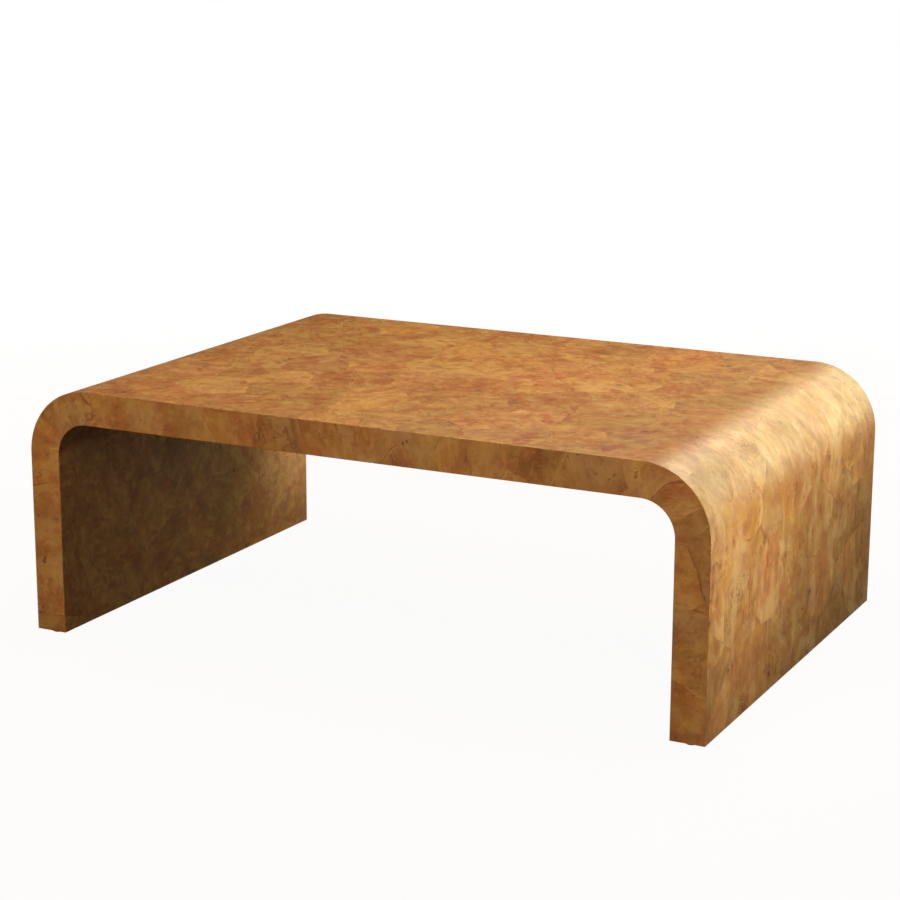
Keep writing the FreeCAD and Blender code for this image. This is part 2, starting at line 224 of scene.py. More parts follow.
def pick(piece, mode, wanted):
    """Select in edit mode the edges or the faces that a test wants."""
    bpy.ops.mesh.select_mode(type=mode)
    bpy.ops.mesh.select_all(action="DESELECT")
    bpy.ops.object.mode_set(mode="OBJECT")
    for item in {"EDGE": piece.data.edges, "FACE": piece.data.polygons}[mode]:
        item.select = wanted(item)
    bpy.ops.object.mode_set(mode="EDIT")


def finish_piece(piece, smooth_degrees):
    """Merge, turn the faces out, shade, and let the large faces rule the normals."""
    bpy.ops.mesh.select_all(action="SELECT")
    bpy.ops.mesh.remove_doubles(threshold=WELD)
    bpy.ops.mesh.normals_make_consistent(inside=False)
    bpy.ops.object.mode_set(mode="OBJECT")
    bpy.ops.object.shade_smooth_by_angle(angle=math.radians(smooth_degrees))
    weigh = piece.modifiers.new("large faces rule", "WEIGHTED_NORMAL")
    weigh.mode = "FACE_AREA"
    weigh.weight = 100
    weigh.keep_sharp = True
    bpy.ops.object.modifier_apply(modifier=weigh.name)


# Veneer sheets: one section swept up the left leg, over the top and down the right leg


def depth_of(sizes, x, z):
    """How deep a point lies under the outer face of the slab."""
    over = max(abs(x) - (sizes.long / 2 - sizes.bend), 0)
    above = max(z - (sizes.high - sizes.bend), 0)
    return sizes.bend - math.hypot(over, above)


def run_of(sizes, x, z):
    """How far a point lies along the slab from the middle of the top, when it is rolled flat."""
    bend_x = sizes.long / 2 - sizes.bend
    bend_z = sizes.high - sizes.bend
    along = min(abs(x), bend_x)
    if abs(x) > bend_x:
        along += sizes.bend * math.atan2(abs(x) - bend_x, max(z - bend_z, 0))
        along += max(bend_z - z, 0)
    return math.copysign(along, x)


def sweep(name, shallow, deep, front, back):
    """A sheet between two depths and two places in Y, swept round the whole table."""
    sizes = bpy.context.scene.table_sizes
    bend_x = sizes.long / 2 - sizes.bend
    bend_z = sizes.high - sizes.bend
    place = ((shallow + deep) / 2 - sizes.long / 2, (front + back) / 2, sizes.clearance)
    bpy.ops.object.select_all(action="DESELECT")
    bpy.ops.mesh.primitive_plane_add(size=1, location=place)
    piece = bpy.context.object
    piece.name = name
    piece.data.name = name
    piece.scale = (deep - shallow, back - front, 1)
    bpy.ops.object.transform_apply(location=True, rotation=True, scale=True)
    edit(piece)

    def straight(x, z):
        """Extrude along a straight run, with a narrow strip at each end of it."""
        reach = math.hypot(x, z)
        for part in (sizes.strip, reach - 2 * sizes.strip, sizes.strip):
            share = part / reach
            bpy.ops.mesh.extrude_region_move(
                TRANSFORM_OT_translate={"value": (x * share, 0, z * share)}
            )

    def turn(centre_x):
        """Spin a quarter turn round the line that both radii of a bend share."""
        bpy.ops.mesh.spin(
            steps=sizes.bend_steps, angle=-math.pi / 2, center=(centre_x, 0, bend_z),
            axis=(0, 1, 0), dupli=False,
        )

    straight(0, bend_z - sizes.clearance)
    turn(-bend_x)
    straight(2 * bend_x, 0)
    turn(bend_x)
    straight(0, sizes.clearance - bend_z)
    bpy.ops.mesh.select_all(action="SELECT")
    bpy.ops.mesh.remove_doubles(threshold=WELD)
    bpy.ops.mesh.normals_make_consistent(inside=False)
    return piece


def ease(piece, shown_depth):
    """Round the long edges between the shown face of a sheet and the front and back."""
    sizes = bpy.context.scene.table_sizes
    points = piece.data.vertices

    def on_arris(edge):
        ends = [points[i].co for i in edge.vertices]
        if abs(ends[0].y - ends[1].y) > NEAR or abs(abs(ends[0].y) - sizes.deep / 2) > NEAR:
            return False
        return all(abs(depth_of(sizes, p.x, p.z) - shown_depth) < 2 * NEAR for p in ends)

    pick(piece, "EDGE", on_arris)
    bpy.ops.mesh.bevel(offset=sizes.arris, segments=3, affect="EDGES", clamp_overlap=True)


def unroll(piece, shift, across_share, wild):
    """UV map in metres of the sheet rolled flat, shifted to a part of the pattern of its own,
    with a share of the depth laid out beside it. Also says how wild the figure is, from the top
    to the legs."""
    sizes = bpy.context.scene.table_sizes
    uv = piece.data.uv_layers.new(name="rolled flat")
    wildness = piece.data.attributes.new("wild", "FLOAT", "POINT")
    on_top, on_legs = wild
    flat = sizes.long / 2 - sizes.bend
    for point, value in zip(piece.data.vertices, wildness.data):
        past = (abs(run_of(sizes, point.co.x, point.co.z)) - flat) / sizes.bend
        value.value = on_top + (on_legs - on_top) * min(max(past, 0), 1)
    for face in piece.data.polygons:
        for loop in face.loop_indices:
            point = piece.data.vertices[piece.data.loops[loop].vertex_index].co
            across = point.y
            if abs(face.normal.y) > 0.5:
                side = math.copysign(1, face.normal.y)
                across += side * across_share * depth_of(sizes, point.x, point.z)
            uv.data[loop].uv = (run_of(sizes, point.x, point.z) + shift[0], across + shift[1])


def hang(piece, body, slot, material, *nodes):
    """Give a finished piece its body and its finish, and hide the solids that it stands for."""
    piece.data.materials.clear()
    piece.data.materials.append(material)
    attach(piece, body)
    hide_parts(*nodes)


# Materials


def add(tree, kind, inputs=None, out=0, **settings):
    """Add one node with its settings and its inputs, values or sockets; gives one output."""
    made = tree.nodes.new(kind)
    for name, value in settings.items():
        setattr(made, name, value)
    for place, value in (inputs or {}).items():
        if isinstance(value, bpy.types.NodeSocket):
            tree.links.new(value, made.inputs[place])
        else:
            made.inputs[place].default_value = value
    return made.outputs[out] if made.outputs else made


def start_material(name):
    """A material with an empty tree, or the one that was made before."""
    material = bpy.data.materials.get(name) or bpy.data.materials.new(name)
    material.use_nodes = True
    material.node_tree.nodes.clear()
    return material, material.node_tree


def rgba(colour):
    """A colour with full cover, as node inputs take it."""
    return (*colour, 1)


def wander(tree, vector, size, reach, detail=1):
    """Bend a pattern to and fro: waves of one size that shift it by up to half a reach."""
    waves = {"Vector": vector, "Scale": 1 / size, "Detail": detail}
    push = add(tree, "ShaderNodeTexNoise", waves, "Color")
    push = add(tree, "ShaderNodeVectorMath", {0: push, 1: (0.5, 0.5, 0.5)}, operation="SUBTRACT")
    push = add(tree, "ShaderNodeVectorMath", {0: push, "Scale": reach}, operation="SCALE")
    return add(tree, "ShaderNodeVectorMath", {0: vector, 1: push}, operation="ADD")


def figure(tree, patterns):
    """Noise patterns by name. A row has the name, the coordinates, the real size of a wave along
    and across, the detail and its roughness."""
    made = {}
    for name, vector, along, across, detail, rough in patterns:
        place = add(
            tree, "ShaderNodeVectorMath", {0: vector, 1: (along, across, across)},
            operation="DIVIDE",
        )
        made[name] = add(
            tree, "ShaderNodeTexNoise",
            {"Vector": place, "Scale": 1, "Detail": detail, "Roughness": rough},
        )
    return made


def masks(tree, made, wanted):
    """Turn patterns into masks. A row has the mask's name, its pattern, the pattern's value where
    the mask is nothing and where it is full, and its full share."""
    for name, source, nothing, full, share in wanted:
        made[name] = add(
            tree, "ShaderNodeMapRange", {0: made[source], 1: nothing, 2: full, 4: share},
            interpolation_type="SMOOTHSTEP",
        )


def stain(tree, colour, layers):
    """Lay colours over a colour, each with its mask."""
    for mask, over in layers:
        if not isinstance(over, bpy.types.NodeSocket):
            over = rgba(over)
        colour = add(tree, "ShaderNodeMix", {0: mask, 6: colour, 7: over}, 2, data_type="RGBA")
    return colour


def burl_veneer():
    """Leaves of mappa burl, cut and laid by hand edge to edge, under rubbed satin lacquer.
    It gives the eye soft patches of tan, ochre, russet and rose with a curling figure."""
    look = bpy.context.scene.veneer_look
    material, tree = start_material("burl veneer, satin lacquer")
    rolled = add(tree, "ShaderNodeUVMap", uv_map="rolled flat")

    # Leaves: cells about one leaf wide, with wavering outlines
    outline = wander(tree, wander(tree, rolled, 140 * MM, 80 * MM), 22 * MM, 11 * MM, 3)
    cells = {"Vector": outline, "Scale": 1 / look.leaf, "Randomness": 1}
    leaf = add(tree, "ShaderNodeTexVoronoi", cells, "Color", voronoi_dimensions="2D")
    seam = add(
        tree, "ShaderNodeTexVoronoi", cells, "Distance", voronoi_dimensions="2D",
        feature="DISTANCE_TO_EDGE",
    )
    first = add(tree, "ShaderNodeSeparateColor", {0: leaf}, 0)
    second = add(tree, "ShaderNodeSeparateColor", {0: leaf}, 1)
    third = add(tree, "ShaderNodeSeparateColor", {0: leaf}, 2)

    # Each leaf has its own direction and its own piece of the burl
    angle = add(tree, "ShaderNodeMath", {0: first, 1: 2 * math.pi}, operation="MULTIPLY")
    turned = add(
        tree, "ShaderNodeVectorRotate", {"Vector": rolled, "Angle": angle}, rotation_type="Z_AXIS"
    )
    apart = add(tree, "ShaderNodeVectorMath", {0: leaf, "Scale": 7}, operation="SCALE")
    own = add(tree, "ShaderNodeVectorMath", {0: turned, 1: apart}, operation="ADD")
    curl = wander(tree, own, 50 * MM, 34 * MM, 2)
    swirl = wander(tree, wander(tree, own, 80 * MM, 60 * MM), 20 * MM, 18 * MM, 2)
    run = wander(tree, rolled, 200 * MM, 60 * MM)
    speckle = wander(tree, own, 14 * MM, 10 * MM, 2)

    # Figure, down to fibres 2.5 mm across, the finest that show
    made = figure(tree, (
        ("cloud", wander(tree, rolled, 110 * MM, 60 * MM), 100 * MM, 100 * MM, 2, 0.55),
        ("blush", swirl, 50 * MM, 45 * MM, 4, 0.6),
        ("patch", curl, 42 * MM, 36 * MM, 4, 0.6),
        ("broad", swirl, 120 * MM, 85 * MM, 4, 0.55),
        ("flame", swirl, 40 * MM, 26 * MM, 5, 0.62),
        ("mottle", curl, 18 * MM, 14 * MM, 4, 0.66),
        ("fleck", swirl, 24 * MM, 10 * MM, 3, 0.55),
        ("fibre", swirl, 8 * MM, 2.5 * MM, 2, 0.6),
        ("ripple", curl, 26 * MM, 20 * MM, 2, 0.5),
        ("ripple_place", own, 55 * MM, 55 * MM, 1, 0.5),
        ("eye_place", own, 70 * MM, 70 * MM, 2, 0.5),
        ("vein_path", swirl, 55 * MM, 55 * MM, 3, 0.6),
        ("vein_place", own, 120 * MM, 120 * MM, 2, 0.5),
        ("crack_path", wander(tree, own, 33 * MM, 6 * MM), 60 * MM, 9 * MM, 1, 0.5),
        ("crack_place", own, 30 * MM, 30 * MM, 1, 0.5),
        ("knot_place", rolled, 160 * MM, 160 * MM, 1, 0.5),
        ("worn", rolled, 50 * MM, 50 * MM, 2, 0.5),
        ("long", run, 150 * MM, 34 * MM, 4, 0.55),
        ("long_place", rolled, 140 * MM, 140 * MM, 1, 0.5),
        ("film", rolled, 16 * MM, 16 * MM, 2, 0.5),
    ))
    made["wild"] = add(tree, "ShaderNodeAttribute", None, "Fac", attribute_name="wild")
    made["first"] = first
    made["seam"] = seam
    # Lines run where a pattern crosses its middle
    for name, source, middle in (
        ("ripple_line", "ripple", 0.5), ("vein_line", "vein_path", 0.5),
        ("crack_line", "crack_path", 0.5), ("long_line", "long", 0.47),
    ):
        off = add(tree, "ShaderNodeMath", {0: made[source], 1: middle}, operation="SUBTRACT")
        made[name] = add(tree, "ShaderNodeMath", {0: off}, operation="ABSOLUTE")
    made["eye_spots"] = add(
        tree, "ShaderNodeTexVoronoi", {"Vector": speckle, "Scale": 1 / (19 * MM)}, "Distance"
    )
    knots = {"Vector": wander(tree, rolled, 18 * MM, 14 * MM, 2), "Scale": 1 / (125 * MM)}
    made["knot_spots"] = add(
        tree, "ShaderNodeTexVoronoi", knots, "Distance", voronoi_dimensions="2D"
    )
    masks(tree, made, (
        ("russet", "blush", 0.5, 0.62, 0.75),
        ("ochre", "blush", 0.49, 0.38, 0.6),
        ("olive", "cloud", 0.56, 0.72, 0.3),
        ("rose", "cloud", 0.46, 0.3, 0.45),
        ("deep_patch", "patch", 0.48, 0.32, 0.55),
        ("pale_patch", "patch", 0.52, 0.68, 0.6),
        ("deep_flame", "flame", 0.48, 0.32, 0.65),
        ("pale_flame", "flame", 0.53, 0.7, 0.5),
        ("deep_mottle", "mottle", 0.46, 0.32, 0.6),
        ("pale_mottle", "mottle", 0.55, 0.68, 0.55),
        ("pale_fleck", "fleck", 0.6, 0.66, 0.5),
        ("deep_fleck", "fleck", 0.38, 0.32, 0.5),
        ("deep_fibre", "fibre", 0.46, 0.28, 0.1),
        ("ripple_on", "ripple_line", 0.03, 0.008, 0.3),
        ("ripple_here", "ripple_place", 0.45, 0.6, 1),
        ("eye_on", "eye_spots", 0.17, 0.08, 0.42),
        ("eye_here", "eye_place", 0.62, 0.72, 1),
        ("vein_on", "vein_line", 0.018, 0.004, 0.5),
        ("vein_here", "vein_place", 0.5, 0.62, 1),
        ("crack_on", "crack_line", 0.04, 0.012, 0.6),
        ("crack_here", "crack_place", 0.7, 0.74, 1),
        ("knot_on", "knot_spots", 0.05, 0.015, 0.75),
        ("halo_on", "knot_spots", 0.2, 0.04, 0.35),
        ("knot_here", "knot_place", 0.54, 0.6, 1),
        ("paler", "wild", 0, 1, 0.15),
        ("strip_on", "long", 0.52, 0.68, 0.5),
        ("gold_on", "long", 0.48, 0.34, 0.5),
        ("pale_broad_on", "broad", 0.5, 0.62, 0.6),
        ("red_broad_on", "broad", 0.46, 0.34, 0.6),
        ("line_on", "long_line", 0.016, 0.004, 0.6),
        ("line_here", "long_place", 0.48, 0.58, 1),
        ("hair_on", "seam", 0.022, 0.006, 0.6),
        ("hair_here", "worn", 0.5, 0.6, 1),
        ("hair_light", "first", 0.5, 0.7, 1),
    ))
    # Marks show only in some places, and the broad figure only where the sheet is wild
    for name, one, other in (
        ("ripple_mark", "ripple_on", "ripple_here"), ("eye", "eye_on", "eye_here"),
        ("vein", "vein_on", "vein_here"), ("crack", "crack_on", "crack_here"),
        ("knot", "knot_on", "knot_here"), ("halo", "halo_on", "knot_here"),
        ("strip", "strip_on", "wild"), ("gold", "gold_on", "wild"),
        ("pale_broad", "pale_broad_on", "wild"), ("red_broad", "red_broad_on", "wild"),
        ("line_wild", "line_on", "wild"), ("line", "line_wild", "line_here"),
        ("hair", "hair_on", "hair_here"),
    ):
        made[name] = add(
            tree, "ShaderNodeMath", {0: made[one], 1: made[other]}, operation="MULTIPLY"
        )

    # Colour, from the leaf's tint through its figure to what lies on top
    tint = add(tree, "ShaderNodeValToRGB", {0: second})
    ramp = tint.node.color_ramp
    ramp.interpolation = "CONSTANT"
    stops = [
        look.tan, look.ochre, look.russet, look.tan, look.straw, look.olive, look.rose, look.tan,
        look.ochre, look.russet,
    ]
    while len(ramp.elements) < len(stops):
        ramp.elements.new(0.5)
    for index, colour in enumerate(stops):
        ramp.elements[index].position = index / len(stops)
        ramp.elements[index].color = rgba(colour)
    colour = stain(tree, rgba(look.tan), (
        (0.5, tint), (made["russet"], look.russet), (made["ochre"], look.ochre),
        (made["olive"], look.olive), (made["rose"], look.rose),
        (made["pale_broad"], look.cream), (made["red_broad"], look.russet),
        (made["deep_patch"], look.deep), (made["pale_patch"], look.straw),
    ))
    # The fine figure, at 0.85 of its strength on the top and 0.45 on the legs
    detailed = stain(tree, colour, (
        (made["deep_flame"], look.deep), (made["pale_flame"], look.straw),
        (made["deep_mottle"], look.deep), (made["pale_mottle"], look.straw),
        (made["pale_fleck"], look.straw), (made["deep_fleck"], look.vein),
        (made["deep_fibre"], look.deep), (made["ripple_mark"], look.straw),
    ))
    fine = add(
        tree, "ShaderNodeMath", {0: made["wild"], 1: -0.4, 2: 0.85}, operation="MULTIPLY_ADD"
    )
    colour = stain(tree, colour, (
        (fine, detailed), (made["paler"], look.cream), (made["vein"], look.vein),
        (made["strip"], look.cream), (made["gold"], look.ochre), (made["line"], look.vein),
    ))
    # Each leaf is up to 17 percent darker or 5 lighter, and on the legs so are its patches
    uneven = add(
        tree, "ShaderNodeMath", {0: made["patch"], 1: made["blush"]}, operation="SUBTRACT"
    )
    uneven = add(
        tree, "ShaderNodeMath", {0: third, 1: 0.25, 2: uneven}, operation="MULTIPLY_ADD"
    )
    light = add(
        tree, "ShaderNodeMath", {0: third, 1: 0.22, 2: 0.83}, operation="MULTIPLY_ADD"
    )
    share = add(tree, "ShaderNodeMath", {0: made["wild"], 1: 0.3}, operation="MULTIPLY")
    light = add(
        tree, "ShaderNodeMath", {0: uneven, 1: share, 2: light}, operation="MULTIPLY_ADD"
    )
    colour = add(tree, "ShaderNodeVectorMath", {0: colour, "Scale": light}, operation="SCALE")
    colour = stain(tree, colour, (
        (made["hair"], stain(tree, rgba(look.vein), ((made["hair_light"], look.straw),))),
        (made["halo"], look.stain), (made["knot"], look.eye), (made["crack"], look.eye),
        (made["eye"], look.eye),
    ))

    # The lacquer fills the pores, so only the figure telegraphs, and it turns the sheen. The
    # patches stand out five times as much as the flames in them.
    relief = add(
        tree, "ShaderNodeMath", {0: made["patch"], 1: 5, 2: made["flame"]},
        operation="MULTIPLY_ADD",
    )
    grain = add(
        tree, "ShaderNodeBump", {"Height": relief, "Strength": 0.4, "Distance": 0.6 * MM}
    )
    film = add(
        tree, "ShaderNodeBump", {"Height": made["film"], "Strength": 0.1, "Distance": 0.5 * MM}
    )
    # Roughness, from 0.6 in the deep parts of the figure down to 0.42 in the others
    silk = add(tree, "ShaderNodeMath", {0: made["patch"], 1: made["blush"]}, operation="ADD")
    silk = add(
        tree, "ShaderNodeMapRange", {0: silk, 1: 0.8, 2: 1.2, 3: 0.6, 4: 0.42},
        interpolation_type="SMOOTHSTEP",
    )
    shader = add(tree, "ShaderNodeBsdfPrincipled", {
        "Base Color": colour, "Metallic": 0.05, "Roughness": silk, "IOR": 1.5, "Normal": grain,
        "Coat Weight": 0.75, "Coat Roughness": 0.48, "Coat IOR": 1.5, "Coat Normal": film,
    })
    add(tree, "ShaderNodeOutputMaterial", {"Surface": shader})
    return material


def moulded_nylon():
    """Nylon moulded in black: an even dark grey with a fine eroded grain."""
    material, tree = start_material("nylon, moulded black")
    place = add(tree, "ShaderNodeTexCoord", None, "Object")
    made = figure(tree, (
        ("cloud", place, 9 * MM, 9 * MM, 2, 0.5),
        ("grain", place, 0.6 * MM, 0.6 * MM, 2, 0.5),
    ))
    masks(tree, made, (("worn", "cloud", 0.35, 0.65, 1),))
    colour = stain(tree, rgba(linear("#1B1815")), ((made["worn"], linear("#2C2823")),))
    bump = add(
        tree, "ShaderNodeBump",
        {"Height": made["grain"], "Strength": 0.35, "Distance": 0.05 * MM},
    )
    shader = add(tree, "ShaderNodeBsdfPrincipled", {
        "Base Color": colour, "Roughness": 0.48, "IOR": 1.53, "Normal": bump,
    })
    add(tree, "ShaderNodeOutputMaterial", {"Surface": shader})
    return material


def sawn_wood(wood, axis):
    """A planed wood with its grain along one axis: rings as streaks and short pores, in matt
    bare wood. It gives the eye long stripes, as far apart as the rings of the tree."""
    name, pale, dark, fleck, ring, pore = wood
    material, tree = start_material(name + ", grain along " + axis)
    place = add(tree, "ShaderNodeTexCoord", None, "Object")
    quarter = {"x": (0, 0, 0), "y": (0, 0, -math.pi / 2), "z": (0, math.pi / 2, 0)}[axis]
    place = add(tree, "ShaderNodeMapping", {"Vector": place, "Rotation": quarter})
    made = figure(tree, (
        ("rings", wander(tree, place, 90 * MM, 8 * MM), 260 * MM, ring, 2, 0.5),
        ("pores", place, 9 * MM, pore, 2, 0.5),
        ("cloud", place, 120 * MM, 30 * MM, 2, 0.5),
    ))
    masks(tree, made, (
        ("late", "rings", 0.46, 0.62, 0.75),
        ("pore", "pores", 0.6, 0.72, 0.45),
        ("aged", "cloud", 0.4, 0.7, 0.3),
    ))
    colour = stain(tree, rgba(linear(pale)), (
        (made["aged"], linear(dark)), (made["late"], linear(dark)), (made["pore"], linear(fleck)),
    ))
    bump = add(
        tree, "ShaderNodeBump", {"Height": made["rings"], "Strength": 0.3, "Distance": 0.2 * MM}
    )
    rough = add(tree, "ShaderNodeMapRange", {0: made["pores"], 3: 0.55, 4: 0.75})
    shader = add(tree, "ShaderNodeBsdfPrincipled", {
        "Base Color": colour, "Roughness": rough, "IOR": 1.5, "Normal": bump,
    })
    add(tree, "ShaderNodeOutputMaterial", {"Surface": shader})
    return material


def turned_metal(name, bright, dull, rough, radius):
    """A metal turned on a lathe: fine rings round it, drawn 0.5 mm apart so that they show,
    and a dull cast here and there. It gives the eye short bright lines across the piece."""
    ring = 0.5 * MM
    material, tree = start_material(name)
    place = add(tree, "ShaderNodeTexCoord", None, "Object")
    made = figure(tree, (
        ("cast", place, 5 * MM, 5 * MM, 3, 0.6),
        ("rings", place, 12 * MM, 12 * MM, 1, 0.5),
    ))
    high = add(tree, "ShaderNodeSeparateXYZ", {0: place}, 2)
    waver = add(
        tree, "ShaderNodeMath", {0: made["rings"], 1: radius / 8, 2: high},
        operation="MULTIPLY_ADD",
    )
    ridge = add(tree, "ShaderNodeMath", {0: waver, 1: ring}, operation="PINGPONG")
    ridge = add(tree, "ShaderNodeMath", {0: ridge, 1: 1 / ring}, operation="MULTIPLY")
    masks(tree, made, (("dulled", "cast", 0.42, 0.66, 1),))
    colour = stain(tree, rgba(linear(bright)), ((made["dulled"], linear(dull)),))
    bump = add(
        tree, "ShaderNodeBump", {"Height": ridge, "Strength": 0.25, "Distance": 0.03 * MM}
    )
    cast = add(tree, "ShaderNodeMapRange", {0: made["cast"], 3: rough - 0.1, 4: rough + 0.1})
    shader = add(tree, "ShaderNodeBsdfPrincipled", {
        "Base Color": colour, "Metallic": 1, "Roughness": cast, "Normal": bump,
    })
    add(tree, "ShaderNodeOutputMaterial", {"Surface": shader})
    return material


def refinish(finish_of):
    """Put a new finish on those CAD nodes whose name has one. Their shapes stay as they are."""
    for name, node in frame["nodes"].items():
        material = finish_of(name)
        if material:
            for slot in node.material_slots:
                slot.material = material


class TABLE_OT_outer_veneer(bpy.types.Operator):
    """Lay the outer sheet of veneer over the legs, the bends and the top"""

    bl_idname = "table.outer_veneer"
    bl_label = "Outer veneer"

    def execute(self, context):
        sizes = context.scene.table_sizes
        sheet = sweep("outer_veneer", 0, sizes.veneer, -sizes.deep / 2, sizes.deep / 2)
        ease(sheet, shown_depth=0)
        finish_piece(sheet, smooth_degrees=40)
        unroll(sheet, shift=(0, 0), across_share=1, wild=(0, 1))
        hang(sheet, "table", "burl_veneer", burl_veneer(), "outer_veneer_leaves")
        return {"FINISHED"}


class TABLE_OT_inner_veneer(bpy.types.Operator):
    """Lay the inner sheet of veneer under the top and on the inner faces of the legs"""

    bl_idname = "table.inner_veneer"
    bl_label = "Inner veneer"

    def execute(self, context):
        sizes = context.scene.table_sizes
        glued = sizes.slab - sizes.veneer
        sheet = sweep("inner_veneer", glued, sizes.slab, -sizes.deep / 2, sizes.deep / 2)
        ease(sheet, shown_depth=sizes.slab)
        finish_piece(sheet, smooth_degrees=40)
        unroll(sheet, shift=(4, 3), across_share=1, wild=(0, 0))
        hang(sheet, "table", "burl_veneer", burl_veneer(), "inner_veneer_leaves")
        return {"FINISHED"}


class TABLE_OT_edge_veneer(bpy.types.Operator):
    """Lay the bands of veneer on the front and back edges, between the two sheets"""

    bl_idname = "table.edge_veneer"
    bl_label = "Edge veneer"

    def execute(self, context):
        sizes = context.scene.table_sizes
        deep = sizes.slab - sizes.veneer
        outside = sizes.deep / 2
        inside = outside - sizes.veneer
        # The figure is stretched across these narrow bands, and half as wild as on the legs
        for name, front, back, shift in (
            ("front_edge_veneer", -outside, -inside, (9, 1)),
            ("back_edge_veneer", inside, outside, (13, 2)),
        ):
            band = sweep(name, sizes.veneer, deep, front, back)
            finish_piece(band, smooth_degrees=40)
            unroll(band, shift=shift, across_share=0.6, wild=(0.5, 0.5))
            hang(band, "table", "burl_veneer", burl_veneer(), name + "_leaves")
        return {"FINISHED"}


class TABLE_OT_glide_pads(bpy.types.Operator):
    """Mould a domed pad on each levelling glide"""

    bl_idname = "table.glide_pads"
    bl_label = "Glide pads"

    def execute(self, context):
        glide = context.scene.glide_sizes
        material = moulded_nylon()
        for body in GLIDES:
            low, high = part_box(body)
            centre = (low + high) / 2
            radius = (high.x - low.x) / 2
            rim_low = low.z + glide.slope_share * (high.z - low.z)
            bpy.ops.object.select_all(action="DESELECT")
            bpy.ops.mesh.primitive_cylinder_add(
                vertices=glide.sides, radius=radius, depth=high.z - rim_low,
                location=(centre.x, centre.y, (high.z + rim_low) / 2),
            )
            pad = context.object
            pad.name = body.replace("_glide_pad", "_domed_pad")
            pad.data.name = pad.name
            bpy.ops.object.transform_apply(location=True, rotation=True, scale=True)
            edit(pad)
            pick(pad, "FACE", lambda face: face.normal.z < -0.5)
            bpy.ops.mesh.extrude_region_move(
                TRANSFORM_OT_translate={"value": (0, 0, low.z - rim_low)}
            )
            bpy.ops.transform.resize(value=(glide.flat_share, glide.flat_share, 1))
            points = pad.data.vertices
            pick(
                pad, "EDGE",
                lambda edge: all(points[i].co.z < rim_low + NEAR for i in edge.vertices)
                and abs(points[edge.vertices[0]].co.z - points[edge.vertices[1]].co.z) < NEAR,
            )
            bpy.ops.mesh.bevel(offset=glide.rounding, segments=4, affect="EDGES")
            pick(pad, "FACE", lambda face: face.normal.z > 0.5 and face.center.z > high.z - NEAR)
            bpy.ops.mesh.inset(thickness=glide.rim)
            bpy.ops.mesh.inset(thickness=radius - glide.rim - glide.socket)
            bpy.ops.mesh.extrude_region_move(
                TRANSFORM_OT_translate={"value": (0, 0, low.z + glide.socket_floor - high.z)}
            )
            finish_piece(pad, smooth_degrees=50)
            hang(pad, body, "pad_nylon", material, body)
        return {"FINISHED"}


class TABLE_OT_skins(bpy.types.Operator):
    """Give the plywood skins, flat and bent, their sanded birch face"""

    bl_idname = "table.skins"
    bl_label = "Plywood skins"

    def execute(self, context):
        finishes = {axis: sawn_wood(BIRCH, axis) for axis in "xyz"}

        def finish_of(name):
            if not name.endswith("_skin"):
                return None
            if "bend" in name:
                return finishes["y"]
            return finishes["z" if "leg" in name else "x"]

        refinish(finish_of)
        return {"FINISHED"}


class TABLE_OT_frame(bpy.types.Operator):
    """Give the stringers, ribs and rails of the frame their planed pine"""

    bl_idname = "table.frame"
    bl_label = "Pine frame"

    def execute(self, context):
        finishes = {axis: sawn_wood(PINE, axis) for axis in "xyz"}

        def finish_of(name):
            if name.endswith("_rail"):
                return finishes["y"]
            if "_stringer_" in name or "_rib_" in name:
                return finishes["z" if "leg" in name else "x"]
            return None

        refinish(finish_of)
        return {"FINISHED"}


class TABLE_OT_tenons(bpy.types.Operator):
    """Give the loose tenons their pressed beech"""

    bl_idname = "table.tenons"
    bl_label = "Beech tenons"

    def execute(self, context):
        finishes = {
            "through_tenons": sawn_wood(BEECH, "x"), "foot_tenons": sawn_wood(BEECH, "z"),
        }
        refinish(finishes.get)
        return {"FINISHED"}


class TABLE_OT_inserts(bpy.types.Operator):
    """Give the threaded inserts their turned brass"""

    bl_idname = "table.inserts"
    bl_label = "Brass inserts"

    def execute(self, context):
        brass = turned_metal("brass, turned", "#D6B36A", "#A8863F", rough=0.3, radius=5 * MM)
        refinish({"glide_inserts": brass}.get)
        return {"FINISHED"}


class TABLE_OT_studs(bpy.types.Operator):
    """Give the studs of the levelling glides their blackened steel"""

    bl_idname = "table.studs"
    bl_label = "Steel studs"

    def execute(self, context):
        steel = turned_metal(
            "steel, turned and blackened", "#5A5855", "#2E2C2A", rough=0.38, radius=3 * MM
        )
        refinish(lambda name: steel if name.endswith("_glide_stud") else None)
        return {"FINISHED"}


